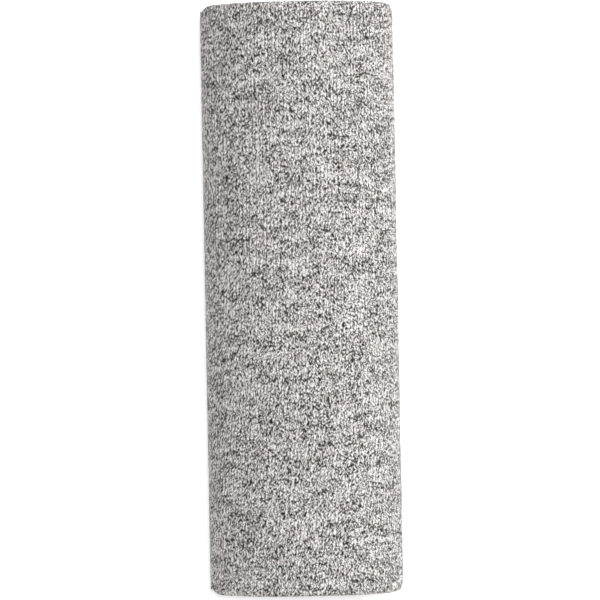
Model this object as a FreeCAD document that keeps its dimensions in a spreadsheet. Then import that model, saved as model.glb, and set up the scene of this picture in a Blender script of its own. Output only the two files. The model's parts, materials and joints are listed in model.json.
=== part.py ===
"""A knitted textile tyre sock, folded like a book into an oval bundle that lies on its back.

X runs across the bundle, Y along it and +Z up. The origin is at the middle of the underside. The lower pack
lies on the surface, and the upper pack opens about the fold along the left edge. All sizes are in millimetres.
"""

import FreeCAD
import Part
import math
import os

from FreeCAD import Vector

DOCUMENT = FreeCAD.newDocument("folded_tyre_sock")
SHEET = DOCUMENT.addObject("Spreadsheet::Sheet", "Sizes")

SIZES = {
    "bundle_width": 98.0,
    "bundle_length": 298.0,
    "parting_height": 28.5,
    "crown_rise": 28.5,
    "crest_offset": 5.0,
    "flank_power": 1.7,
    "rest_half_width": 30.0,
    "parting_gap": 0.15,
    "wrap_thickness": 1.8,
    "ply_gap": 0.05,
    "leaf_setback": 1.5,
    "leaf_base": 4.0,
    "panel_thickness": 0.8,
    "panel_half_width": 45.5,
    "panel_half_length": 145.0,
    "panel_corner": 12.0,
    "casing_width": 11.0,
    "casing_thickness": 2.0,
    "mouth_left": 46.0,
    "mouth_right": 31.0,
    "mouth_half_length": 112.0,
    "mouth_corner": 34.0,
    "elastic_width": 7.0,
    "elastic_thickness": 1.0,
    "thread_width": 0.5,
    "thread_height": 0.15,
    "hem_stitch_inset": 9.0,
    "seam_inset": 3.0,
    "label_width": 24.0,
    "label_drop": 15.0,
    "label_thickness": 0.5,
    "label_hinge_height": 21.0,
    "label_centre_y": -95.0,
    "label_clearance": 0.3,
    "tack_length": 5.0,
}

LEAVES_PER_PACK = 5
OUTLINE_STEPS = 8


def fill_sheet():
    """Puts every driving size in the spreadsheet, with its alias."""
    for row, (alias, value) in enumerate(SIZES.items(), start=1):
        SHEET.set(f"A{row}", alias)
        SHEET.set(f"B{row}", str(value))
        SHEET.setAlias(f"B{row}", alias)
    DOCUMENT.recompute()


def size(alias):
    """A driving size, read back from the spreadsheet."""
    return float(SHEET.get(alias))


def pack_section(side):
    """The oval half section of one pack: side is 1 for the upper pack and -1 for the lower one."""
    half_width = size("bundle_width") / 2 - size("parting_gap")
    if side > 0:
        left_centre = right_centre = size("crest_offset")
        left_power = size("flank_power")
        rise = size("crown_rise")
    else:
        left_centre = -size("rest_half_width")
        right_centre = size("rest_half_width")
        left_power = 2.0
        rise = size("parting_height")
    return {
        "side": side,
        "rise": rise,
        "flanks": [
            {"centre": left_centre, "reach": half_width + left_centre, "sign": -1, "power": left_power},
            {"centre": right_centre, "reach": half_width - right_centre, "sign": 1, "power": 2.0},
        ],
    }


def flank_points(section, flank, inset, base, share):
    """Points up one flank, from its edge on the base plane to its top, at a share of the full outline.

    Distances run from the parting plane. An inset outline is the same oval with smaller half axes.
    """
    rise = section["rise"] - inset
    edge_angle = math.acos(base / rise)
    points = []
    for step in range(OUTLINE_STEPS + 1):
        angle = edge_angle * (1 - step / OUTLINE_STEPS)
        across = (flank["reach"] - inset) * math.sin(angle) ** (2 / flank["power"])
        away = base + (rise * math.cos(angle) - base) * share
        x = flank["centre"] + flank["sign"] * across
        z = size("parting_height") + section["side"] * away
        points.append(Vector(x, 0, z))
    return points


def smooth_edge(points):
    """One spline through the points."""
    curve = Part.BSplineCurve()
    curve.interpolate(points)
    return curve.toShape()


def outline_edges(section, inset, base, share):
    """The edges of one outline from its left end to its right end, and those two ends."""
    left = flank_points(section, section["flanks"][0], inset, base, share)
    right = flank_points(section, section["flanks"][1], inset, base, share)[::-1]
    if share == 0:
        return [Part.makeLine(left[0], right[-1])], left[0], right[-1]
    edges = [smooth_edge(left)]
    if (left[-1] - right[0]).Length > size("ply_gap"):
        edges.append(Part.makeLine(left[-1], right[0]))
    edges.append(smooth_edge(right))
    return edges, left[0], right[-1]


def layer_solid(section, outer, inner, length):
    """A layer between two outlines, each (inset, base, share), pulled along the bundle."""
    outer_edges, outer_left, outer_right = outline_edges(section, *outer)
    inner_edges, inner_left, inner_right = outline_edges(section, *inner)
    closing = []
    if (outer_left - inner_left).Length > size("ply_gap"):
        closing = [Part.makeLine(outer_left, inner_left), Part.makeLine(outer_right, inner_right)]
    rows = Part.sortEdges(outer_edges + inner_edges + closing)
    face = Part.Face(Part.Wire(rows[0]))
    face.translate(Vector(0, -length / 2, 0))
    return face.extrude(Vector(0, length, 0))


def add_shape(label, shape):
    """A free-form textile layer, whose shape no sketch or primitive fits."""
    feature = DOCUMENT.addObject("Part::Feature", label)
    feature.Label = label
    feature.Shape = shape
    feature.Placement = FreeCAD.Placement()
    return feature


def make_wrap(name, section):
    """The sleeve fabric round the outside of one pack."""
    gap = size("parting_gap")
    outer = (0.0, gap, 1.0)
    inner = (size("wrap_thickness"), gap, 1.0)
    return add_shape(f"{name}_wrap", layer_solid(section, outer, inner, size("bundle_length")))


def make_leaves(name, section):
    """The folded leaves inside one pack, counted from the parting plane outwards."""
    inset = size("wrap_thickness") + size("ply_gap")
    length = size("bundle_length") - 2 * size("leaf_setback")
    leaves = []
    for number in range(LEAVES_PER_PACK):
        near = (inset, size("leaf_base"), number / LEAVES_PER_PACK)
        far = (inset, size("leaf_base"), (number + 1) / LEAVES_PER_PACK)
        leaves.append(add_shape(f"{name}_leaf_{number + 1}", layer_solid(section, far, near, length)))
    return leaves


def origin_plane(body, role):
    """One of a body's own origin planes."""
    return next(feature for feature in body.Origin.OriginFeatures if feature.Role == role)


def new_sketch(body, name):
    """An empty sketch on the body's XY plane."""
    sketch = body.newObject("Sketcher::SketchObject", name)
    sketch.AttachmentSupport = (origin_plane(body, "XY_Plane"), [""])
    sketch.MapMode = "FlatFace"
    return sketch


def rounded_path(left, right, half_length, corner):
    """The half loop of a mouth in plan: in from the fold, round two corners and back to the fold."""
    corner_x = right - corner
    corner_y = half_length - corner
    bend = corner * math.sqrt(0.5)
    line, arc = Part.LineSegment, Part.Arc
    return [
        line(Vector(left, -half_length, 0), Vector(corner_x, -half_length, 0)),
        arc(
            Vector(corner_x, -half_length, 0),
            Vector(corner_x + bend, -corner_y - bend, 0),
            Vector(right, -corner_y, 0),
        ),
        line(Vector(right, -corner_y, 0), Vector(right, corner_y, 0)),
        arc(
            Vector(right, corner_y, 0),
            Vector(corner_x + bend, corner_y + bend, 0),
            Vector(corner_x, half_length, 0),
        ),
        line(Vector(corner_x, half_length, 0), Vector(left, half_length, 0)),
    ]


def rounded_rectangle(half_width, half_length, corner):
    """A rectangle with round corners, centred on the origin."""
    bend = corner * math.sqrt(0.5)
    inner_x = half_width - corner
    inner_y = half_length - corner
    curves = []
    for turn in range(4):
        angle = FreeCAD.Rotation(Vector(0, 0, 1), 90 * turn)
        across, along = (inner_x, inner_y) if turn % 2 == 0 else (inner_y, inner_x)
        start = Vector(across + corner, -along, 0)
        middle = Vector(across + corner, along, 0)
        knee = Vector(across + bend, along + bend, 0)
        finish = Vector(across, along + corner, 0)
        start, middle, knee, finish = [angle.multVec(point) for point in (start, middle, knee, finish)]
        curves.append(Part.LineSegment(start, middle))
        curves.append(Part.Arc(middle, knee, finish))
    return curves


def padded_body(label, outlines, thickness_alias, height):
    """A flat textile piece: closed outlines padded by a thickness from the sheet, lying at a height."""
    body = DOCUMENT.addObject("PartDesign::Body", label)
    body.Label = label
    sketch = new_sketch(body, f"{label}_sketch")
    for outline in outlines:
        sketch.addGeometry(outline, False)
    pad = body.newObject("PartDesign::Pad", f"{label}_pad")
    pad.Profile = sketch
    pad.setExpression("Length", f"Sizes.{thickness_alias}")
    body.Placement = FreeCAD.Placement(Vector(0, 0, height), FreeCAD.Rotation())
    return body


def mouth_loop():
    """The casing's outer edge: its right end, half length and corner radius."""
    return size("mouth_right"), size("mouth_half_length"), size("mouth_corner")


def panel_loop():
    """The side panel's edge: its right end, half length and corner radius."""
    return size("panel_half_width"), size("panel_half_length"), size("panel_corner")


def band_outline(loop, inset, width):
    """A band of one width that starts and ends at the fold, its outer edge set in from a loop."""
    left = -size("mouth_left")
    outer = rounded_path(left, *[value - inset for value in loop])
    inner = rounded_path(left, *[value - inset - width for value in loop])
    ends = [
        Part.LineSegment(outer[0].StartPoint, inner[0].StartPoint),
        Part.LineSegment(outer[-1].EndPoint, inner[-1].EndPoint),
    ]
    return outer + inner + ends


def layer_height(side, near, thickness):
    """The underside of a flat layer whose near face is that far from the parting plane."""
    parting = size("parting_height")
    return parting + near if side > 0 else parting - near - thickness


def make_casing(name, side):
    """The hem casing: a flat tube along the mouth, hollow for the elastic band."""
    near = size("parting_gap") + size("thread_height")
    thickness = size("casing_thickness")
    label = f"{name}_hem_casing"
    outline = band_outline(mouth_loop(), 0.0, size("casing_width"))
    body = padded_body(label, outline, "casing_thickness", layer_height(side, near, thickness))
    margin = (size("casing_width") - size("elastic_width")) / 2
    channel = new_sketch(body, f"{label}_channel_sketch")
    for curve in band_outline(mouth_loop(), margin, size("elastic_width")):
        channel.addGeometry(curve, False)
    channel.AttachmentOffset = FreeCAD.Placement(
        Vector(0, 0, (thickness - size("elastic_thickness")) / 2), FreeCAD.Rotation()
    )
    pocket = body.newObject("PartDesign::Pocket", f"{label}_channel")
    pocket.Profile = channel
    pocket.Reversed = True
    pocket.setExpression("Length", "Sizes.elastic_thickness")
    return body


def make_elastic(name, side):
    """The elastic band, filling the casing's channel."""
    near = size("parting_gap") + size("thread_height")
    near += (size("casing_thickness") - size("elastic_thickness")) / 2
    margin = (size("casing_width") - size("elastic_width")) / 2
    height = layer_height(side, near, size("elastic_thickness"))
    outline = band_outline(mouth_loop(), margin, size("elastic_width"))
    return padded_body(f"{name}_elastic_band", outline, "elastic_thickness", height)


def make_hem_stitching(name, side):
    """The sewing thread that closes the casing, on its face near the mouth."""
    height = layer_height(side, size("parting_gap"), size("thread_height"))
    outline = band_outline(mouth_loop(), size("hem_stitch_inset"), size("thread_width"))
    return padded_body(f"{name}_hem_stitching", outline, "thread_height", height)


def make_panels(name, side):
    """The two side panels: the outboard one whole, and the inboard one with the mouth cut out of it."""
    outline = rounded_rectangle(*panel_loop())
    thickness = size("panel_thickness")
    inboard_near = size("parting_gap") + size("thread_height") + size("casing_thickness")
    outboard_near = inboard_near + thickness
    outboard_height = layer_height(side, outboard_near, thickness)
    outboard = padded_body(f"{name}_outboard_panel", outline, "panel_thickness", outboard_height)
    label = f"{name}_inboard_panel"
    inboard = padded_body(label, outline, "panel_thickness", layer_height(side, inboard_near, thickness))
    past_edge = -size("bundle_width") / 2
    mouth = rounded_path(past_edge, *[value - size("casing_width") for value in mouth_loop()])
    mouth.append(Part.LineSegment(mouth[-1].EndPoint, mouth[0].StartPoint))
    sketch = new_sketch(inboard, f"{label}_mouth_sketch")
    for curve in mouth:
        sketch.addGeometry(curve, False)
    pocket = inboard.newObject("PartDesign::Pocket", f"{label}_mouth")
    pocket.Profile = sketch
    pocket.Type = "ThroughAll"
    pocket.Midplane = True
    return [outboard, inboard]


def make_seam_thread(name, side):
    """The thread that joins the side panel to the sleeve, just inside the panel's edge."""
    near = size("parting_gap") + size("casing_thickness")
    outline = band_outline(panel_loop(), size("seam_inset"), size("thread_width"))
    height = layer_height(side, near, size("thread_height"))
    return padded_body(f"{name}_seam_thread", outline, "thread_height", height)


def make_label():
    """The sewn-in label, which hangs from its top edge against the right flank of the lower pack."""
    label = DOCUMENT.addObject("Part::Box", "sewn_label")
    label.Label = "sewn_label"
    label.setExpression("Length", "Sizes.label_thickness")
    label.setExpression("Width", "Sizes.label_width")
    label.setExpression("Height", "Sizes.label_drop")
    x = size("bundle_width") / 2 - size("parting_gap") - size("label_thickness")
    y = size("label_centre_y") - size("label_width") / 2
    z = size("label_hinge_height") - size("label_clearance") - size("label_drop")
    label.Placement = FreeCAD.Placement(Vector(x, y, z), FreeCAD.Rotation())
    return label


def make_label_tacks():
    """Two short bar tacks that hold the label's top edge to the wrap."""
    x = size("bundle_width") / 2 - size("parting_gap") - size("label_thickness") - size("thread_width") / 2
    tacks = []
    for sign in (-1, 1):
        y = size("label_centre_y") + sign * (size("label_width") - size("tack_length")) / 2
        start = Vector(x, y - size("tack_length") / 2, size("label_hinge_height") + size("thread_width") / 2)
        tacks.append(Part.makeCylinder(size("thread_width") / 2, size("tack_length"), start, Vector(0, 1, 0)))
    return add_shape("label_tacks", Part.makeCompound(tacks))


def make_pack(name, side):
    """Every piece of one half of the bundle."""
    section = pack_section(side)
    pieces = [make_wrap(name, section)]
    pieces += make_leaves(name, section)
    pieces += make_panels(name, side)
    pieces += [
        make_casing(name, side),
        make_elastic(name, side),
        make_hem_stitching(name, side),
        make_seam_thread(name, side),
    ]
    return pieces


def check_and_export(pieces):
    """Stops on a failed object or a bad solid, then writes each piece to its own file."""
    DOCUMENT.recompute()
    for thing in DOCUMENT.Objects:
        if "Invalid" in thing.State or "Error" in thing.State:
            raise RuntimeError(f"{thing.Name} failed: {thing.State}")
    os.makedirs("parts", exist_ok=True)
    for piece in pieces:
        shape = piece.Shape
        if shape.isNull() or not shape.isValid() or shape.Volume <= 0:
            raise RuntimeError(f"{piece.Label} has no valid solid")
        print(f"{piece.Label}: {len(shape.Solids)} solid(s), {shape.Volume / 1000:.2f} cm3")
        shape.exportStep(f"parts/{piece.Label}.step")


fill_sheet()
ALL_PIECES = make_pack("lower", -1) + make_pack("upper", 1) + [make_label(), make_label_tacks()]
check_and_export(ALL_PIECES)
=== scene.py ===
"""A knitted tyre sock, folded like a book, lying on a pale light table with its front face up.

The CAD frame gives the places: the hinge is the outermost line of the left-hand fold, and "away" is the
distance of a point from the parting plane between the two packs. Lengths are in metres.
"""

import json
import math

import bpy
import numpy as np
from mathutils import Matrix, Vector


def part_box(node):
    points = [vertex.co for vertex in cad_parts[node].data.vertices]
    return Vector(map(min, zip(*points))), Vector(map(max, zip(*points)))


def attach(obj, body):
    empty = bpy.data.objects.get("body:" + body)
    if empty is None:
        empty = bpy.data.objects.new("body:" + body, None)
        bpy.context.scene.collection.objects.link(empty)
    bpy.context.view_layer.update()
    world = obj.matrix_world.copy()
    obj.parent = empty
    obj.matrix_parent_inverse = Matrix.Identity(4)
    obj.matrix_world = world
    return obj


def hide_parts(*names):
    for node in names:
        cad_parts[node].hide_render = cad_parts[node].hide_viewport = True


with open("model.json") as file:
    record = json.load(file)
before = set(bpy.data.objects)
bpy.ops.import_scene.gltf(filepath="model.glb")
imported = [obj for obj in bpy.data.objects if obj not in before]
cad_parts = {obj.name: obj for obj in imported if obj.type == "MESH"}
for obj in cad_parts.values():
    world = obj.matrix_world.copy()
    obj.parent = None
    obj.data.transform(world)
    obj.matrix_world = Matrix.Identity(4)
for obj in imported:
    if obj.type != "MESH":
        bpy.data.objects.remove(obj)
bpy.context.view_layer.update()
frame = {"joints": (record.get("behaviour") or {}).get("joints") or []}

MM = 0.001
HINGE = next(joint for joint in frame["joints"] if joint["name"] == "book_fold")["pos_m"]
SPINE_X, PARTING_Z = HINGE[0], HINGE[2]
WRAP_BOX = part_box("upper_wrap")
HALF_WIDTH = -SPINE_X
HALF_LENGTH = WRAP_BOX[1].y
SIDES = {"lower": -1, "upper": 1}

# The oval section of each pack: where its flanks start, how full they are and how far it rises.
SECTIONS = {
    "upper": {"left": 5 * MM, "right": 5 * MM, "left_power": 1.7, "rise": WRAP_BOX[1].z - PARTING_Z},
    "lower": {"left": -30 * MM, "right": 30 * MM, "left_power": 2.0, "rise": PARTING_Z},
}

# The knit: one wale is a column of stitches, one course a row.
WALE = 1.81 * MM
COURSE = 1.13 * MM
STITCH_RELIEF = 0.40 * MM
WRAP_INSET = 0.45 * MM
END_TURN = 2.2 * MM
CORNER_RADIUS = 4.5 * MM
LOBE_GROOVE = 4.5 * MM
FOLD_PINCH = 1.6 * MM

# How the knit's lattice leans: the wales lean over the near half, and the courses climb across the bundle.
WALE_LEAN = 0.12
LEAN_START = -5 * MM
LEAN_SOFTNESS = 25 * MM
COURSE_SLOPE = 0.06

# The lower wrap takes its flecks from another part of the pattern, in whole stitches.
LOWER_FLECK_SHIFT = 300

# The soft inside, measured away from the parting plane.
TOUCH = 0.35 * MM
RING_DEPTH = 2.35 * MM
PANEL_THICKNESS = 0.5 * MM
PANEL_TO_LEAF = 0.45 * MM
LEAF_INSET = 4.6 * MM
LEAF_COVER = 5.0 * MM
LEAF_EDGE_RADIUS = 1.8 * MM
LEAF_SLACK = 0.12 * MM
LEAVES_PER_PACK = 5

RANDOM = np.random.default_rng(7)


def smoothstep(low, high, value):
    """0 below low, 1 above high and smooth between them."""
    share = np.clip((value - low) / (high - low), 0, 1)
    return share * share * (3 - 2 * share)


# --- mesh helpers -------------------------------------------------------------------------------------------


def new_object(name, points, faces, uvs):
    """A smooth mesh object from numpy points (n, 3) and quads (m, 4), with one UV per point."""
    mesh = bpy.data.meshes.new(name)
    mesh.vertices.add(len(points))
    mesh.vertices.foreach_set("co", np.asarray(points, np.float32).ravel())
    mesh.loops.add(faces.size)
    mesh.loops.foreach_set("vertex_index", faces.astype(np.int32).ravel())
    mesh.polygons.add(len(faces))
    mesh.polygons.foreach_set("loop_start", np.arange(0, faces.size, 4, dtype=np.int32))
    layer = mesh.uv_layers.new(name="knit")
    layer.data.foreach_set("uv", np.asarray(uvs, np.float32)[faces.ravel()].ravel())
    mesh.polygons.foreach_set("use_smooth", np.full(len(faces), True))
    mesh.update(calc_edges=True)
    mesh.validate()
    obj = bpy.data.objects.new(name, mesh)
    bpy.context.scene.collection.objects.link(obj)
    return obj


def grid_faces(rows, columns, close_columns=False):
    """The quads of a grid whose point (row, column) is number row * columns + column."""
    column_count = columns if close_columns else columns - 1
    row, column = np.meshgrid(np.arange(rows - 1), np.arange(column_count), indexing="ij")
    next_row, next_column = row + 1, (column + 1) % columns
    corners = [(row, column), (row, next_column), (next_row, next_column), (next_row, column)]
    return np.stack([r * columns + c for r, c in corners], axis=-1).reshape(-1, 4)


def cap_faces(start, count, reverse):
    """Closes a loop of points, whose two runs lie over each other, with a strip of quads."""
    low = np.arange(0, count // 2)
    high = count - 1 - low
    faces = np.stack([low[:-1], low[1:], high[1:], high[:-1]], axis=-1) + start
    return faces[:, ::-1] if reverse else faces


def tube_faces(stations, ring):
    """The quads of a tube made of rings of points, with a cap at each end."""
    caps = [cap_faces(0, ring, False), cap_faces((stations - 1) * ring, ring, True)]
    return np.concatenate([grid_faces(stations, ring, close_columns=True), *caps])


def ply_faces(rows, columns):
    """The quads of a thick sheet: a grid, the same grid again behind it, and the walls round their rim."""
    count = rows * columns
    front = grid_faces(rows, columns)
    rim = np.concatenate([
        np.arange(rows) * columns,
        (rows - 1) * columns + np.arange(1, columns),
        np.arange(rows - 2, -1, -1) * columns + columns - 1,
        np.arange(columns - 2, 0, -1),
    ])
    after = np.roll(rim, -1)
    walls = np.stack([rim, after, after + count, rim + count], axis=-1)
    return np.concatenate([front, front[:, ::-1] + count, walls])


def joined(name, parts):
    """One object from several (points, faces, uvs)."""
    points, faces, uvs, start = [], [], [], 0
    for part_points, part_faces, part_uvs in parts:
        points.append(part_points)
        faces.append(part_faces + start)
        uvs.append(part_uvs)
        start += len(part_points)
    return new_object(name, np.concatenate(points), np.concatenate(faces), np.concatenate(uvs))


def to_frame(side, x, y, away):
    """Points (n, 3) from arrays of x, y and the distance from the parting plane."""
    x, y, away = np.broadcast_arrays(x, y, away)
    return np.stack([x, y, PARTING_Z + SIDES[side] * away], axis=-1).reshape(-1, 3)


# --- the section and its path -------------------------------------------------------------------------------


def flank(side, hand, inset, angles):
    """x and away up one flank, left or right; an angle of 90 degrees is at the parting plane."""
    section = SECTIONS[side]
    sign = -1 if hand == "left" else 1
    power = section["left_power"] if hand == "left" else 2.0
    reach = HALF_WIDTH - sign * section[hand] - inset
    x = section[hand] + sign * reach * np.sin(angles) ** (2 / power)
    return x, (section["rise"] - inset) * np.cos(angles)


def section_path(side):
    """The wrap's line across the bundle: from the fold, round the outside and in again at the fore edge."""
    steps = 500
    lip = 1.2 * MM
    rise = SECTIONS[side]["rise"] - WRAP_INSET
    left_x, left_away = flank(side, "left", WRAP_INSET, np.linspace(math.acos(0.05 * MM / rise), 0, steps))
    right_x, right_away = flank(side, "right", WRAP_INSET, np.linspace(0, math.acos(lip / rise), steps))
    left_x -= (left_x[0] - SPINE_X) * np.clip(1 - left_away / FOLD_PINCH, 0, 1) ** 2
    if side == "lower":
        groove = (right_away - PARTING_Z * 0.5) / (0.9 * MM)
        right_x = right_x - LOBE_GROOVE * np.exp(-(groove**2))
    turn = np.linspace(0, math.pi / 2, 12)[1:]
    turn_x = right_x[-1] - lip * (1 - np.cos(turn)) * 0.8
    turn_away = lip - (lip - TOUCH) * np.sin(turn)
    tuck = np.linspace(0, 1, 20)[1:]
    tuck_x = turn_x[-1] - 7 * MM * tuck
    tuck_away = turn_away[-1] + (RING_DEPTH - TOUCH) * tuck**2
    x = np.concatenate([left_x, right_x, turn_x, tuck_x])
    away = np.concatenate([left_away, right_away, turn_away, tuck_away])
    keep = np.concatenate([[True], np.hypot(np.diff(x), np.diff(away)) > 1e-7])
    x, away = x[keep], away[keep]
    length = np.concatenate([[0], np.cumsum(np.hypot(np.diff(x), np.diff(away)))])
    return x, away, length


def at_length(path, along):
    """x, away and the outward normal at distances along a section path."""
    x, away, length = path
    step = 0.25 * MM
    here_x, here_away = np.interp(along, length, x), np.interp(along, length, away)
    before, after = np.clip(along - step, 0, length[-1]), np.clip(along + step, 0, length[-1])
    run_x = np.interp(after, length, x) - np.interp(before, length, x)
    run_away = np.interp(after, length, away) - np.interp(before, length, away)
    norm = np.hypot(run_x, run_away)
    return here_x, here_away, -run_away / norm, run_x / norm


# --- the knitted wraps --------------------------------------------------------------------------------------


def stitch_height(wale, course):
    """Relief of plain knit, 0 to 1: in each wale two legs rise from its middle outwards, one course high."""
    spread = np.abs(wale % 1.0 - 0.5) * 2
    phase = (course - spread) % 1.0
    leg = np.sin(np.pi * (0.26 + 0.72 * spread)) ** 0.6
    yarn = np.abs(np.sin(np.pi * phase)) ** 0.7
    return leg * (0.2 + 0.8 * yarn)


def soft_waves(u, v, seed):
    """Slow unevenness of cloth that has been folded by hand, -1 to 1."""
    waves = np.random.default_rng(seed)
    total = np.zeros(np.broadcast(u, v).shape)
    for _ in range(7):
        length = waves.uniform(35, 120) * MM
        angle = waves.uniform(0, math.pi)
        phase = waves.uniform(0, 2 * math.pi)
        total += np.sin(2 * math.pi * (u * math.cos(angle) + v * math.sin(angle)) / length + phase)
    return total / 4


def knit_lattice(width, reach, per_wale, per_course):
    """The grid of the knitted sheet, and where each of its points lies.

    Returns wale and course counts, u across the sheet and v along it, and which points lie on the sheet.
    """
    extra = WALE_LEAN * HALF_LENGTH + 4 * MM
    wale = np.arange(-4 * per_wale, int((width + extra) / WALE) * per_wale + 1) / per_wale
    rows = int((reach + COURSE_SLOPE * width) / COURSE) + 2
    course = np.arange(-rows * per_course, rows * per_course + 1) / per_course
    course, wale = np.meshgrid(course, wale, indexing="ij")
    v = course * COURSE + COURSE_SLOPE * (wale * WALE - width / 2)
    sway = WALE_LEAN * LEAN_SOFTNESS * np.log1p(np.exp(-(v - LEAN_START) / LEAN_SOFTNESS))
    u = wale * WALE - sway
    inside = (u > -WALE / per_wale) & (u < width + WALE / per_wale) & (np.abs(v) < reach + COURSE)
    return wale, course, np.clip(u, 0, width), np.clip(v, -reach, reach), inside


def wrap_mesh(side, per_wale, per_course):
    """The sleeve fabric round one pack, as a knitted sheet whose lattice leans as the real one does."""
    path = section_path(side)
    width = path[2][-1]
    turn_length = math.pi * END_TURN
    reach = HALF_LENGTH - END_TURN + turn_length + 3 * MM
    wale, course, u, v, inside = knit_lattice(width, reach, per_wale, per_course)

    x, away, normal_x, normal_away = at_length(path, u)
    straight = HALF_LENGTH - END_TURN - WRAP_INSET
    angle = np.clip((np.abs(v) - straight) / END_TURN, 0, math.pi)
    back = np.clip(np.abs(v) - straight - turn_length, 0, None)
    along = np.minimum(np.abs(v), straight) + END_TURN * np.sin(angle) - back
    beyond = np.clip(np.abs(x) - (HALF_WIDTH - CORNER_RADIUS), 0, CORNER_RADIUS)
    corner = CORNER_RADIUS - np.sqrt(CORNER_RADIUS**2 - beyond**2)
    along -= corner * smoothstep(straight - 14 * MM, straight, np.abs(v))
    inset = END_TURN * (1 - np.cos(angle)) * (0.12 + 0.88 * smoothstep(0, 6 * MM, u))

    edge_calm = smoothstep(0, 6 * MM, u) * smoothstep(0, 14 * MM, width - u)
    relief = STITCH_RELIEF * (stitch_height(wale, course) - 0.6)
    drift = 0.32 * MM * soft_waves(u, v, 11 + SIDES[side]) * edge_calm
    rest = smoothstep(0.5 * MM, 6 * MM, SECTIONS[side]["rise"] - away) if side == "lower" else 1.0
    lift = relief * (0.04 + 0.96 * edge_calm) * np.cos(angle) + drift * rest - inset
    x = x + normal_x * lift
    away = np.maximum(away + normal_away * lift, 0.02 * MM)
    along += relief * np.sin(angle) + 0.5 * MM * soft_waves(u, 0.0, 23)
    points = to_frame(side, x, np.sign(v) * along, away)
    faces = grid_faces(*u.shape)
    faces = faces[inside.ravel()[faces].all(axis=1)]
    used = np.unique(faces)
    renumber = np.zeros(u.size, np.int64)
    renumber[used] = np.arange(len(used))
    shift = LOWER_FLECK_SHIFT if side == "lower" else 0
    uvs = np.stack([wale.ravel() + 0.25 / per_wale + shift, course.ravel() + shift], axis=-1)
    faces = renumber[faces] if SIDES[side] < 0 else renumber[faces][:, ::-1]
    flat = (float(width), float(2 * reach))
    return new_object(f"{side}_wrap_knit", points[used], faces, uvs[used]), flat


# --- folded layers inside the packs -------------------------------------------------------------------------


END_STEPS = np.array([0, 0.4, 0.8, 1.2, 1.7, 2.3, 3.1, 4.2, 6, 9, 14, 25, 45, 70, 100]) * MM


def slab(side, x, half_length, near, far, arc_steps, relief=0.0):
    """A folded layer: at each x a closed loop along Y, with a round fold at each end.

    near and far give its two faces, away from the parting plane, for arrays of x and y.
    """
    x, end = x[:, None], half_length[:, None]
    radius = (far(x, end) - near(x, end)) / 2
    positive = end - radius - END_STEPS[::-1]
    y_run = np.concatenate([-positive[:, ::-1], positive], axis=1)
    near_run, far_run = near(x, y_run), far(x, y_run)
    angle = np.linspace(-math.pi / 2, math.pi / 2, arc_steps)[1:-1]
    middle, half = (near_run + far_run) / 2, (far_run - near_run) / 2
    y = np.concatenate([
        y_run,
        end - radius + radius * np.cos(angle),
        y_run[:, ::-1],
        radius - end - radius * np.cos(angle),
    ], axis=1)
    away = np.concatenate([
        near_run,
        middle[:, -1:] + half[:, -1:] * np.sin(angle),
        far_run[:, ::-1],
        middle[:, :1] - half[:, :1] * np.sin(angle),
    ], axis=1)
    step_y, step_away = np.diff(y, axis=1, prepend=y[:, :1]), np.diff(away, axis=1, prepend=0)
    around = np.cumsum(np.hypot(step_y, step_away), axis=1)
    wale, course = np.broadcast_arrays(x / WALE, around / COURSE)
    if relief:
        run_y, run_away = np.gradient(y, axis=1), np.gradient(away, axis=1)
        lift = relief * (stitch_height(wale, course) - 0.6) / np.hypot(run_y, run_away)
        lift *= smoothstep(end - 6 * MM, end - 3 * MM, np.abs(y))
        y, away = y + run_away * lift, away - run_y * lift
    faces = tube_faces(*y.shape)
    uvs = np.stack([wale, course], axis=-1).reshape(-1, 2)
    return to_frame(side, x, y, away), faces if SIDES[side] > 0 else faces[:, ::-1], uvs


def leaf_base(x, y):
    """Where the folded layers start: on the side panels, which rise over the hem's ring."""
    return panel_depth(x, y) + 2 * PANEL_THICKNESS + PANEL_TO_LEAF


def round_edge(x, low, high, radius):
    """0 at both ends of a layer and 1 in between, as a quarter circle over radius."""
    inside = np.clip(np.minimum(x - low, high - x) / radius, 0, 1)
    return np.sqrt(np.clip(1 - (1 - inside) ** 2, 0.01, 1))


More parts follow.
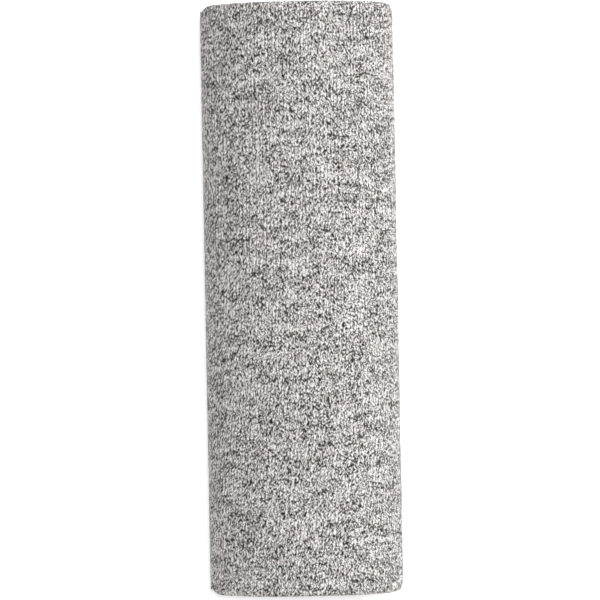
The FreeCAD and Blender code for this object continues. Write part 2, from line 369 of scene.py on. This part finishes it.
def make_leaf(side, leaf):
    """The leaf-th leaf of a pack, counted from the parting plane: sleeve fabric folded double."""
    section = SECTIONS[side]
    rise = section["rise"] - LEAF_INSET
    angles = np.linspace(math.acos(2.5 * MM / rise), 0, 60)
    left_x, left_away = flank(side, "left", LEAF_INSET, angles)
    right_x, right_away = flank(side, "right", LEAF_INSET, angles[::-1])
    top_x, top_away = np.concatenate([left_x, right_x]), np.concatenate([left_away, right_away])
    low = np.interp(LEAF_COVER + RANDOM.uniform(0, 3) * MM, left_away, left_x)
    high = np.interp(-LEAF_COVER - RANDOM.uniform(0, 3) * MM, -right_away, right_x)
    edge = np.array([0, 0.06, 0.2, 0.42, 0.72, 1.1, 1.6]) * MM
    x = np.concatenate([low + edge, np.arange(low + 2 * MM, high - 2 * MM, WALE / 4.5), high - edge[::-1]])
    phase, tilt = RANDOM.uniform(0, 6), RANDOM.uniform(-1, 1)
    half_length = HALF_LENGTH - (1.9 + RANDOM.uniform(0, 2.2)) * MM
    wave = 0.45 * MM * np.sin(x / (13 * MM) + phase) + 0.7 * MM * tilt * x / HALF_WIDTH
    half_length = half_length + wave - 3.0 * MM * smoothstep(HALF_WIDTH - 12 * MM, HALF_WIDTH, np.abs(x))

    def face(here, y, share, sign):
        base = leaf_base(here, y)
        top = np.interp(here, top_x, top_away)
        ripple = 0.3 * MM * np.sin(here / (17 * MM) + leaf * 1.9) * share * (1 - share) * 4
        middle = base + (top - base) * (leaf - 0.5) / LEAVES_PER_PACK
        reach = (top - base) * (share - (leaf - 0.5) / LEAVES_PER_PACK) - sign * LEAF_SLACK
        return middle + reach * round_edge(here, low, high, LEAF_EDGE_RADIUS) + ripple

    def near(here, y):
        return face(here, y, (leaf - 1) / LEAVES_PER_PACK, -1)

    def far(here, y):
        return face(here, y, leaf / LEAVES_PER_PACK, 1)

    return new_object(f"{side}_leaf_{leaf}_fold", *slab(side, x, half_length, near, far, 15, STITCH_RELIEF))


# --- side panels, hem, thread -------------------------------------------------------------------------------

CASING_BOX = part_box("lower_hem_casing")
CASING_WIDTH = 11 * MM
CASING_THICKNESS = 1.9 * MM
ELASTIC_WIDTH = 7 * MM
ELASTIC_THICKNESS = 0.9 * MM
GATHER_PITCH = 5.2 * MM
LOOP_START = SPINE_X + 0.08 * MM
MOUTH_RIGHT = CASING_BOX[1].x
MOUTH_HALF = CASING_BOX[1].y
MOUTH_CORNER = 34 * MM


def ring_share(x, y):
    """1 where the folded hem lies and inside it, 0 near the edges, where the two packs touch."""
    right = 1 - smoothstep(MOUTH_RIGHT + 1 * MM, MOUTH_RIGHT + 11.5 * MM, x)
    ends = 1 - smoothstep(MOUTH_HALF + 2 * MM, MOUTH_HALF + 30 * MM, np.abs(y))
    return right * ends


def pinch(x):
    """How much of its depth a piece keeps where the fold line presses it flat."""
    return 0.03 + 0.97 * smoothstep(SPINE_X, SPINE_X + 8 * MM, x)


def panel_depth(x, y):
    """How far the inboard panel's face lies from the parting plane."""
    return (TOUCH + (RING_DEPTH - TOUCH) * ring_share(x, y)) * pinch(x)


def make_outboard_panel(side):
    """The outboard side panel, seen through the mouth when the fold is open."""
    low, high = LOOP_START, HALF_WIDTH - 5.2 * MM
    edge = np.array([0, 0.05, 0.15, 0.4, 1.0]) * MM
    x = np.concatenate([low + edge, np.linspace(low + 2 * MM, high - 2 * MM, 110), high - edge[::-1]])
    corner = smoothstep(HALF_WIDTH - 14 * MM, HALF_WIDTH - 4 * MM, np.abs(x))
    half_length = HALF_LENGTH - 2.6 * MM - 2.5 * MM * corner

    def middle(here, y):
        wrinkle = 0.16 * MM * np.sin(here / (3.1 * MM) + 2.2 * np.sin(y / (19 * MM)))
        wrinkle = wrinkle + 0.12 * MM * np.sin(y / (2.7 * MM) + 1.5 * np.sin(here / (9 * MM)))
        return panel_depth(here, y) + (1.65 * PANEL_THICKNESS + wrinkle * ring_share(here, y)) * pinch(here)

    def half(here):
        return PANEL_THICKNESS / 2 * round_edge(here, low, high, 0.3 * MM) * pinch(here)

    def near(here, y):
        return middle(here, y) - half(here)

    def far(here, y):
        return middle(here, y) + half(here)

    piece = new_object(f"{side}_outboard_panel_cloth", *slab(side, x, half_length, near, far, 7))
    return piece, (float(high - low), float(2 * half_length.mean()))


def rounded_loop(along, right, half, corner):
    """Points on a half loop that starts and ends at the fold, for shares 0 to 1 along it.

    The loop is given by its right end, half length and corner radius. Returns x, y, the direction out of
    the loop and the loop's length.
    """
    straight = right - corner - LOOP_START
    bend = corner * math.pi / 2
    side_run = 2 * (half - corner)
    total = 2 * straight + 2 * bend + side_run
    s = np.asarray(along) * total
    mirrored = s > total / 2
    s = np.where(mirrored, total - s, s)
    x, y = LOOP_START + s, np.full(s.shape, -half)
    out_x, out_y = np.zeros(s.shape), np.full(s.shape, -1.0)
    turning = (s > straight) & (s <= straight + bend)
    angle = (s - straight) / corner
    x = np.where(turning, right - corner + corner * np.sin(angle), x)
    y = np.where(turning, -half + corner - corner * np.cos(angle), y)
    out_x, out_y = np.where(turning, np.sin(angle), out_x), np.where(turning, -np.cos(angle), out_y)
    past = s > straight + bend
    x = np.where(past, right, x)
    y = np.where(past, -half + corner + (s - straight - bend), y)
    out_x, out_y = np.where(past, 1.0, out_x), np.where(past, 0.0, out_y)
    y, out_y = np.where(mirrored, -y, y), np.where(mirrored, -out_y, out_y)
    return x, y, out_x, out_y, total


def loop_point(along, inset):
    """The same on the mouth's loop: the casing's outer edge moved in by inset."""
    return rounded_loop(along, MOUTH_RIGHT - inset, MOUTH_HALF - inset, MOUTH_CORNER - inset)


def make_inboard_panel(side):
    """The inboard side panel: a sheet round the mouth, gathered where the hem casing holds it."""
    stations, across = 880, 26
    along = np.linspace(0, 1, stations)
    inner_x, inner_y, _, _, total = loop_point(along, CASING_WIDTH - 2 * MM)
    outer_x, outer_y, _, _, _ = rounded_loop(along, HALF_WIDTH - 4.5 * MM, HALF_LENGTH - 2.9 * MM, 9 * MM)
    share = np.linspace(0, 1, across)[None, :]
    x = inner_x[:, None] * (1 - share) + outer_x[:, None] * share
    y = inner_y[:, None] * (1 - share) + outer_y[:, None] * share
    gather = 0.5 + 0.5 * np.sin(along * total / (0.95 * MM) + 1.8 * np.sin(along * 47))[:, None]
    away = panel_depth(x, y)
    away = away - 0.95 * MM * gather * (1 - share) ** 1.1 * ring_share(x, y) * pinch(x)
    away = away + 0.14 * MM * soft_waves(x * 3, y * 3, 31) * ring_share(x, y) * pinch(x)
    top, bottom = to_frame(side, x, y, away), to_frame(side, x, y, away + PANEL_THICKNESS * pinch(x))
    points = np.concatenate([top, bottom])
    faces = ply_faces(stations, across)
    if side == "upper":
        faces = faces[:, ::-1]
    uvs = np.tile(np.stack([x / WALE, y / COURSE], axis=-1).reshape(-1, 2), (2, 1))
    piece = new_object(f"{side}_inboard_panel_cloth", points, faces, uvs)
    outer = (float(outer_x.max() - SPINE_X), float(2 * outer_y.max()))
    mouth = (inner_x.max() - SPINE_X) * 2 * inner_y.max()
    return piece, outer, float(outer[0] * outer[1] - mouth)


def swept_band(name, side, inset, width, thickness, ripple):
    """A flat band along the mouth, rounded at its edges and rippled along its length."""
    x, y, out_x, out_y, total = loop_point(np.linspace(0, 1, 520), inset + width / 2)
    around = np.linspace(0, 2 * math.pi, 20, endpoint=False)
    across_unit = np.sign(np.cos(around)) * np.abs(np.cos(around)) ** 0.6
    depth_unit = np.sign(np.sin(around)) * np.abs(np.sin(around)) ** 0.8
    along = np.linspace(0, total, len(x))[:, None]
    wave = np.sin(2 * math.pi * along / GATHER_PITCH + 0.8 * np.sin(along / (11 * MM)))
    half_width = width / 2 * (1 + 0.04 * np.roll(wave, 7))
    kept_depth = pinch(x)[:, None]
    middle = (0.3 * MM + RING_DEPTH) / 2 * kept_depth
    across = half_width * across_unit[None, :]
    crease = 0.8 * ripple * wave * np.cos(around[None, :] * 2) * kept_depth
    away = middle + (thickness / 2 - ripple) * kept_depth * depth_unit[None, :] + crease
    grid_x = x[:, None] + out_x[:, None] * across
    grid_y = y[:, None] + out_y[:, None] * across
    faces = tube_faces(len(x), len(around))
    if side == "upper":
        faces = faces[:, ::-1]
    uvs = np.stack([across + 0 * along, along + 0 * across], axis=-1).reshape(-1, 2) / MM
    return new_object(name, to_frame(side, grid_x, grid_y, np.maximum(away, 0.03 * MM)), faces, uvs)


def stitch_row(name, side, starts, ends, away, thickness):
    """Sewing stitches: a short round-ended thread from each start (x, y) to each end, arched a little."""
    stations, ring = 7, 6
    share = np.linspace(0, 1, stations)
    around = np.linspace(0, 2 * math.pi, ring, endpoint=False)
    parts = []
    for (start_x, start_y), (end_x, end_y), depth in zip(starts, ends, away):
        run = np.array([end_x - start_x, end_y - start_y])
        across = np.array([-run[1], run[0]]) / np.hypot(*run)
        bulge = np.sqrt(np.clip(1 - (2 * share - 1) ** 4, 0.02, 1))[:, None] * thickness / 2
        arch = (0.25 * MM * (1 - (2 * share - 1) ** 2))[:, None]
        x = start_x + run[0] * share[:, None] + across[0] * bulge * np.cos(around)
        y = start_y + run[1] * share[:, None] + across[1] * bulge * np.cos(around)
        z = np.maximum(depth + 0.1 * MM - arch + bulge * np.sin(around), 0.02 * MM)
        uvs = np.stack([around[None, :] + 0 * x, share[:, None] + 0 * x], axis=-1).reshape(-1, 2)
        parts.append((to_frame(side, x, y, z), tube_faces(stations, ring), uvs))
    return joined(name, parts)


def make_hem_stitching(side):
    """Lockstitch that closes the casing, near the mouth's edge."""
    inset = CASING_WIDTH - 1.8 * MM
    total = loop_point(np.array([0.0]), inset)[4]
    count = int(total / (3.3 * MM))
    first = np.linspace(0.02, 0.98, count)
    second = first + 2.5 * MM / total
    x0, y0, _, _, _ = loop_point(first, inset)
    x1, y1, _, _, _ = loop_point(second, inset)
    away = (0.3 * MM + 0.15 * MM) * pinch(x0)
    return stitch_row(f"{side}_hem_stitches", side, zip(x0, y0), zip(x1, y1), away, 0.32 * MM)


def make_seam_thread(side):
    """The overlock zigzag that joins the side panel to the sleeve."""
    right, half, corner = HALF_WIDTH - 7 * MM, HALF_LENGTH - 5.5 * MM, 7 * MM
    total = rounded_loop(np.array([0.0]), right, half, corner)[4]
    count = int(total / (1.9 * MM))
    along = np.linspace(0.003, 0.997, count + 1)
    x, y, out_x, out_y, _ = rounded_loop(along, right, half, corner)
    swing = 1.1 * MM * np.where(np.arange(count + 1) % 2 == 0, 1, -1)
    x, y = x + out_x * swing, y + out_y * swing
    points = list(zip(x, y))
    away = panel_depth(x[:-1], y[:-1])
    return stitch_row(f"{side}_seam_stitches", side, points[:-1], points[1:], away, 0.26 * MM)


# --- the label ----------------------------------------------------------------------------------------------


def make_label():
    """A blank satin label that hangs from its top edge, folded double, with a slight curl."""
    low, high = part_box("sewn_label")
    columns, rows = 40, 26
    across = np.linspace(low.y, high.y, columns)
    down = np.linspace(0, 1, rows)
    angle = np.linspace(0, math.pi, 9)[1:-1]
    half = 0.2 * MM
    middle = (low.x + high.x) / 2
    top = high.z + half
    drop = top - low.z - half
    front = np.stack([np.full(rows, half), -down * drop], axis=-1)
    bend = np.stack([half * np.cos(angle), -drop - half * np.sin(angle)], axis=-1)
    back = np.stack([np.full(rows, -half), -down[::-1] * drop], axis=-1)
    profile = np.concatenate([front, bend, back])
    y, x = np.meshgrid(across, profile[:, 0], indexing="ij")
    z = np.tile(profile[:, 1], (columns, 1))
    side = (y - (low.y + high.y) / 2) / (high.y - low.y) * 2
    fall = (z / drop) ** 2
    curl = 0.9 * MM * fall * side**2 + 0.35 * MM * fall * np.sin(2.6 * side + 0.6)
    points = np.stack([middle + x - curl, y, top + z], axis=-1).reshape(-1, 3)
    uvs = np.stack([y, z], axis=-1).reshape(-1, 2) / MM
    flat = (high.y - low.y, 2 * drop + math.pi * half)
    return new_object("sewn_label_satin", points, grid_faces(columns, len(profile)), uvs), flat


def make_label_tacks():
    """Two bar tacks: rows of tight stitches from the label's top edge up onto the wrap."""
    low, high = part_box("label_tacks")
    stations, ring, stitches = 6, 6, 9
    length = 5 * MM
    parts = []
    around = np.linspace(0, 2 * math.pi, ring, endpoint=False)
    share = np.linspace(0, 1, stations)[:, None]
    bulge = 0.17 * MM * np.sqrt(np.clip(1 - (2 * share - 1) ** 4, 0.03, 1))
    for start in (low.y, high.y - length):
        for number in range(stitches):
            y = start + length * (number + 0.5) / stitches + 0.1 * MM * (share - 0.5)
            x = high.x - 0.75 * MM * share**1.5 + bulge * np.cos(around)
            z = low.z + 0.05 * MM + 0.95 * MM * share + 0 * around
            points = np.stack([x, y + bulge * np.sin(around), z], axis=-1)
            parts.append((points.reshape(-1, 3), tube_faces(stations, ring), np.zeros((stations * ring, 2))))
    return joined("label_bar_tacks", parts)


# --- materials ----------------------------------------------------------------------------------------------


class Graph:
    """Short ways to add nodes to one material."""

    def __init__(self, name, roughness, sheen=0.0):
        self.material = bpy.data.materials.new(name)
        self.material.use_nodes = True
        self.tree = self.material.node_tree
        self.shader = self.tree.nodes["Principled BSDF"]
        self.shader.inputs["Roughness"].default_value = roughness
        self.shader.inputs["Sheen Weight"].default_value = sheen
        self.shader.inputs["Sheen Roughness"].default_value = 0.6
        self.shader.inputs["Specular IOR Level"].default_value = 0.25

    def node(self, kind, **settings):
        made = self.tree.nodes.new(kind)
        for key, value in settings.items():
            setattr(made, key, value)
        return made

    def put(self, socket, value):
        if isinstance(value, bpy.types.NodeSocket):
            self.tree.links.new(value, socket)
        else:
            socket.default_value = value

    def math(self, operation, first, second=0.0, third=0.0):
        made = self.node("ShaderNodeMath", operation=operation)
        for socket, value in zip(made.inputs, (first, second, third)):
            self.put(socket, value)
        return made.outputs[0]

    def join(self, x, y, z=0.0):
        made = self.node("ShaderNodeCombineXYZ")
        for socket, value in zip(made.inputs, (x, y, z)):
            self.put(socket, value)
        return made.outputs[0]

    def noise(self, vector, scale, detail=2.0, roughness=0.5):
        made = self.node("ShaderNodeTexNoise")
        self.put(made.inputs["Vector"], vector)
        made.inputs["Scale"].default_value = scale
        made.inputs["Detail"].default_value = detail
        made.inputs["Roughness"].default_value = roughness
        return made.outputs["Fac"]

    def white(self, vector):
        made = self.node("ShaderNodeTexWhiteNoise", noise_dimensions="3D")
        self.put(made.inputs["Vector"], vector)
        return made.outputs["Value"]

    def cell(self, x, x_count, y, y_count, layer):
        """The whole-numbered cell that a place falls in, with so many cells to one unit of x and y."""
        column = self.math("FLOOR", self.math("MULTIPLY", x, x_count))
        return self.join(column, self.math("FLOOR", self.math("MULTIPLY", y, y_count)), layer)

    def ramp(self, value, stops):
        made = self.node("ShaderNodeValToRGB")
        elements = made.color_ramp.elements
        while len(elements) < len(stops):
            elements.new(0.5)
        for element, (position, colour) in zip(elements, stops):
            element.position = position
            element.color = (*colour, 1.0)
        self.put(made.inputs["Fac"], value)
        return made.outputs["Color"]

    def uv(self):
        made = self.node("ShaderNodeUVMap", uv_map="knit")
        split = self.node("ShaderNodeSeparateXYZ")
        self.put(split.inputs[0], made.outputs["UV"])
        return split.outputs[0], split.outputs[1]

    def place(self):
        return self.node("ShaderNodeTexCoord").outputs["Object"]

    def finish(self, colour, height=None, distance=0.0002, strength=1.0):
        self.put(self.shader.inputs["Base Color"], colour)
        if height is not None:
            bump = self.node("ShaderNodeBump")
            bump.inputs["Distance"].default_value = distance
            bump.inputs["Strength"].default_value = strength
            self.put(bump.inputs["Height"], height)
            self.put(self.shader.inputs["Normal"], bump.outputs["Normal"])
        return self.material


def heather_knit(name, relief):
    """Plain knit of marled yarn: each half leg of a stitch has its own grey, in loose clusters, with painted
    shade in the gaps between the legs.
    """
    g = Graph(name, roughness=0.92, sheen=0.15)
    wale, course = g.uv()
    spread = g.math("MULTIPLY", g.math("ABSOLUTE", g.math("SUBTRACT", g.math("FRACT", wale), 0.5)), 2.0)
    climb = g.math("SUBTRACT", course, spread)
    phase = g.math("FRACT", climb)
    leg = g.cell(wale, 2.0, climb, 1.0, 0.0)
    half_leg = g.cell(wale, 4.0, climb, 2.0, 9.0)
    cluster = g.noise(g.join(g.math("MULTIPLY", wale, 0.11), g.math("MULTIPLY", course, 0.27)), 1.0, 3.0, 0.6)
    fibre = g.noise(g.join(g.math("MULTIPLY", wale, 3.0), g.math("MULTIPLY", climb, 2.6)), 1.8, 3.0, 0.75)
    tone = g.math("MULTIPLY_ADD", g.white(leg), 0.26, g.math("MULTIPLY", g.white(half_leg), 0.86))
    tone = g.math("MULTIPLY_ADD", g.math("SUBTRACT", cluster, 0.5), 0.78, tone)
    tone = g.math("MULTIPLY_ADD", g.math("SUBTRACT", fibre, 0.5), 0.5, tone)
    colour = g.ramp(
        tone,
        [
            (0.27, (0.008, 0.007, 0.006)),
            (0.43, (0.085, 0.078, 0.073)),
            (0.54, (0.36, 0.338, 0.323)),
            (0.66, (0.76, 0.727, 0.70)),
            (0.86, (0.93, 0.90, 0.875)),
        ],
    )
    yarn = g.math("POWER", g.math("SINE", g.math("MULTIPLY", phase, math.pi)), 0.8)
    column = g.math("SINE", g.math("MULTIPLY", g.math("MULTIPLY_ADD", spread, 0.72, 0.26), math.pi))
    stitch = g.math("MULTIPLY", g.math("POWER", column, 0.45), g.math("MULTIPLY_ADD", yarn, 0.9, 0.1))
    # Painted shade: the colour is multiplied down in the gaps between the stitch legs and between the
    # courses, and lifted a little on the legs' crests.
    gap_shade = g.math("MULTIPLY_ADD", g.math("POWER", stitch, 0.9), 1.15, 0.08)
    shade = g.node("ShaderNodeMixRGB", blend_type="MULTIPLY")
    shade.inputs[0].default_value = 1.0
    g.put(shade.inputs[1], colour)
    g.put(shade.inputs[2], g.join(gap_shade, gap_shade, gap_shade))
    height = g.math("MULTIPLY_ADD", fibre, 0.5, g.math("MULTIPLY", stitch, relief))
    return g.finish(shade.outputs[0], height, distance=0.35 * MM, strength=0.7)


def panel_tricot():
    """Dark warp-knit polyester: fine ribs with a slight two-tone melange."""
    g = Graph("side_panel_tricot", roughness=0.7, sheen=0.2)
    across, along = g.uv()
    rib = g.math("SINE", g.math("MULTIPLY", across, 2 * math.pi * 1.6))
    tick = g.math("SINE", g.math("MULTIPLY", along, 2 * math.pi * 0.9))
    mesh = g.math("MULTIPLY_ADD", rib, 0.5, g.math("MULTIPLY", tick, 0.35))
    melange = g.noise(g.join(across, along), 1.3, 3.0)
    # The ribs' share of the tone is painted shade: darker in their grooves and lighter on their tops. The
    # melange is the cloth's own colour.
    tone = g.math("MULTIPLY_ADD", mesh, 0.12, melange)
    stops = [(0.3, (0.035, 0.036, 0.04)), (0.55, (0.075, 0.076, 0.082)), (0.8, (0.14, 0.14, 0.145))]
    colour = g.ramp(tone, stops)
    return g.finish(colour, mesh, distance=0.2 * MM, strength=0.6)


def ribbed_tape():
    """Black tape of the hem casing, ribbed across."""
    g = Graph("hem_casing_tape", roughness=0.75, sheen=0.1)
    across, along = g.uv()
    rib = g.math("SINE", g.math("MULTIPLY", along, 2 * math.pi / 1.1))
    weave = g.math("SINE", g.math("MULTIPLY", across, 2 * math.pi / 0.7))
    height = g.math("MULTIPLY_ADD", weave, 0.3, rib)
    # Painted shade: the tone follows the rib height, darker in the grooves.
    tone = g.math("MULTIPLY_ADD", height, 0.15, g.noise(g.join(across, along), 0.9, 2.0))
    colour = g.ramp(tone, [(0.25, (0.012, 0.012, 0.014)), (0.75, (0.06, 0.06, 0.066))])
    return g.finish(colour, height, distance=0.2 * MM, strength=0.7)


def braided_elastic():
    """White braided elastic, with rubber ribs along it."""
    g = Graph("braided_elastic", roughness=0.6)
    across, along = g.uv()
    rib = g.math("SINE", g.math("MULTIPLY", across, 2 * math.pi / 0.9))
    braid = g.math("SINE", g.math("MULTIPLY", g.math("ADD", along, across), 2 * math.pi / 0.8))
    height = g.math("MULTIPLY_ADD", braid, 0.4, rib)
    # Painted shade: the tone is the rib and braid height, darker in the grooves and paler on the ribs.
    tone = g.math("MULTIPLY_ADD", height, 0.2, 0.5)
    colour = g.ramp(tone, [(0.2, (0.45, 0.44, 0.41)), (0.8, (0.78, 0.77, 0.73))])
    return g.finish(colour, height, distance=0.2 * MM, strength=0.7)


def sewing_thread():
    """Twisted pale grey polyester thread."""
    g = Graph("sewing_thread", roughness=0.55, sheen=0.1)
    around, along = g.uv()
    twist = g.math("SINE", g.math("MULTIPLY_ADD", along, 26.0, around))
    # Painted shade: the tone follows the twist, darker in its grooves.
    tone = g.math("MULTIPLY_ADD", twist, 0.25, 0.5)
    colour = g.ramp(tone, [(0.2, (0.32, 0.31, 0.30)), (0.8, (0.68, 0.66, 0.64))])
    return g.finish(colour, twist, distance=0.1 * MM, strength=0.6)


def satin_label():
    """Off-white satin weave, with a slightly uneven lustre and the weave's shade painted into its colour."""
    g = Graph("satin_label", roughness=0.42, sheen=0.1)
    across, down = g.uv()
    warp = g.math("SINE", g.math("MULTIPLY", across, 2 * math.pi / 0.32))
    weft = g.math("SINE", g.math("MULTIPLY_ADD", down, 2 * math.pi / 0.5, g.math("MULTIPLY", across, 2.2)))
    height = g.math("MULTIPLY_ADD", weft, 0.35, warp)
    # Painted shade and painted lustre: the tone is darker in the weave's grooves, and loose paler and darker
    # patches stand for the uneven lustre.
    tone = g.math("MULTIPLY_ADD", height, 0.12, g.noise(g.join(across, down), 0.25, 2.0))
    colour = g.ramp(tone, [(0.2, (0.66, 0.65, 0.61)), (0.8, (0.86, 0.85, 0.82))])
    return g.finish(colour, height, distance=0.08 * MM, strength=0.5)


def place_piece(piece, material, body, slot, *nodes):
    """Gives a piece its material and its body, and hides the CAD nodes that it stands for. The slot is not
    used.
    """
    piece.data.materials.clear()
    piece.data.materials.append(material)
    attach(piece, body)
    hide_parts(*nodes)
    return piece


# --- building -----------------------------------------------------------------------------------------------

KNIT = heather_knit("heather_knit", relief=0.2)
FOLDED_KNIT = heather_knit("folded_knit", relief=0.3)
TRICOT = panel_tricot()
TAPE = ribbed_tape()
ELASTIC = braided_elastic()
THREAD = sewing_thread()
SATIN = satin_label()


def build_pack(side, per_wale, per_course):
    """Every piece of one pack."""
    body = f"{side}_pack"
    wrap, flat = wrap_mesh(side, per_wale, per_course)
    place_piece(wrap, KNIT, body, "heather_knit", f"{side}_wrap")
    for leaf in range(1, LEAVES_PER_PACK + 1):
        piece = make_leaf(side, leaf)
        place_piece(piece, FOLDED_KNIT, body, "folded_knit", f"{side}_leaf_{leaf}")
    outboard, flat = make_outboard_panel(side)
    place_piece(outboard, TRICOT, body, "side_panel", f"{side}_outboard_panel")
    inboard, flat, area = make_inboard_panel(side)
    place_piece(inboard, TRICOT, body, "side_panel", f"{side}_inboard_panel")
    casing = swept_band(f"{side}_hem_casing_tape", side, 0.0, CASING_WIDTH, CASING_THICKNESS, 0.22 * MM)
    place_piece(casing, TAPE, body, "hem_casing", f"{side}_hem_casing")
    inset = (CASING_WIDTH - ELASTIC_WIDTH) / 2
    elastic = swept_band(f"{side}_elastic_braid", side, inset, ELASTIC_WIDTH, ELASTIC_THICKNESS, 0.03 * MM)
    place_piece(elastic, ELASTIC, body, "elastic", f"{side}_elastic_band")
    place_piece(make_hem_stitching(side), THREAD, body, "thread", f"{side}_hem_stitching")
    place_piece(make_seam_thread(side), THREAD, body, "thread", f"{side}_seam_thread")


def build_label():
    """The label, and the bar tacks that hold it to the lower wrap."""
    label, flat = make_label()
    place_piece(label, SATIN, "label", "label", "sewn_label")
    place_piece(make_label_tacks(), THREAD, "lower_pack", "thread", "label_tacks")


# --- floor, light and camera --------------------------------------------------------------------------------


FLOOR_GLOW = 0.42
FLOOR_HALF = 12.0
WHITE = (1.0, 1.0, 1.0, 1.0)
CAMERA_HEIGHT = 1.7
FRAME_WIDTH = 0.3035
CAMERA_TURN = math.radians(-1.09)


def make_floor():
    """A wide pale light table that the bundle rests on."""
    mesh = bpy.data.meshes.new("floor")
    corners = [(x * FLOOR_HALF, y * FLOOR_HALF, 0) for x, y in ((-1, -1), (1, -1), (1, 1), (-1, 1))]
    mesh.from_pydata(corners, [], [(0, 1, 2, 3)])
    floor = bpy.data.objects.new("floor", mesh)
    bpy.context.scene.collection.objects.link(floor)
    g = Graph("pale_floor", roughness=0.85)
    grain = g.noise(g.place(), 40.0, 3.0)
    g.shader.inputs["Emission Color"].default_value = WHITE
    g.shader.inputs["Emission Strength"].default_value = FLOOR_GLOW
    mesh.materials.append(g.finish(g.ramp(grain, [(0.3, (0.84, 0.84, 0.84)), (0.7, (0.86, 0.86, 0.86))])))


def make_light(name, location, target, size, watts):
    """A square soft light aimed at a point."""
    data = bpy.data.lights.new(name, "AREA")
    data.size = size
    data.energy = watts
    light = bpy.data.objects.new(name, data)
    bpy.context.scene.collection.objects.link(light)
    light.location = location
    light.rotation_euler = (Vector(target) - Vector(location)).to_track_quat("-Z", "Y").to_euler()


def make_world(strength, seen):
    """An even white surround that lights the scene less than it shows behind the floor's edge."""
    world = bpy.data.worlds.new("surround")
    world.use_nodes = True
    background = world.node_tree.nodes["Background"]
    background.inputs["Color"].default_value = WHITE
    sight = world.node_tree.nodes.new("ShaderNodeLightPath")
    level = world.node_tree.nodes.new("ShaderNodeMath")
    level.operation = "MULTIPLY_ADD"
    level.inputs[1].default_value = seen - strength
    level.inputs[2].default_value = strength
    world.node_tree.links.new(sight.outputs["Is Camera Ray"], level.inputs[0])
    world.node_tree.links.new(level.outputs[0], background.inputs["Strength"])
    bpy.context.scene.world = world


def make_camera():
    """Straight above the bundle, turned a little so that its far end leans to the left."""
    data = bpy.data.cameras.new("camera")
    camera = bpy.data.objects.new("camera", data)
    bpy.context.scene.collection.objects.link(camera)
    data.sensor_width = 36.0
    data.lens = data.sensor_width * (CAMERA_HEIGHT - PARTING_Z) / FRAME_WIDTH
    data.clip_start = 0.05
    camera.location = (-1.0 * MM, -0.65 * MM, CAMERA_HEIGHT)
    camera.rotation_euler = (0.0, 0.0, CAMERA_TURN)
    bpy.context.scene.camera = camera


make_camera()
make_floor()
make_world(strength=0.56, seen=1.0)
make_light("overhead", (0.08, 0.10, 1.7), (0, 0, 0.03), size=0.22, watts=14.5)
make_light("side", (1.1, 0.55, 1.0), (0, 0, 0.03), size=0.8, watts=10.0)
build_pack("lower", per_wale=4, per_course=2)
build_pack("upper", per_wale=6, per_course=3)
build_label()
bpy.context.scene.view_settings.view_transform = "Standard"
